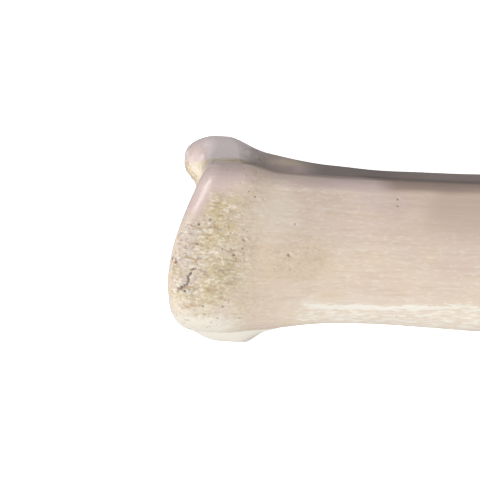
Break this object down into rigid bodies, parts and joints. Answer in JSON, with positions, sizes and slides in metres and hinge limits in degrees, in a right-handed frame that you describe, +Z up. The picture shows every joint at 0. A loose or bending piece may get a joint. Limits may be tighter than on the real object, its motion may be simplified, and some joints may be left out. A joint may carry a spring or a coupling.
{
  "type": "giraffe metatarsal bone",
  "caption": "Hind cannon bone of a giraffe lying on its inner side: long shaft grooved at the back, faceted hock end with a raised knob, and keeled rollers at the hoof end.",
  "frame": {"origin": "centre of the footprint of the outer box, on the surface that the bone rests on", "axes": "+X runs along the bone from the hock end to the hoof end, +Y points to the back of the bone, +Z is up and points to its outer side"},
  "size_m": [0.69, 0.0804, 0.0917],
  "materials": {
    "bone": "satin"
  },
  "bodies": {
    "root": {"metatarsal_bone": "bone"}
  },
  "joints": []
}
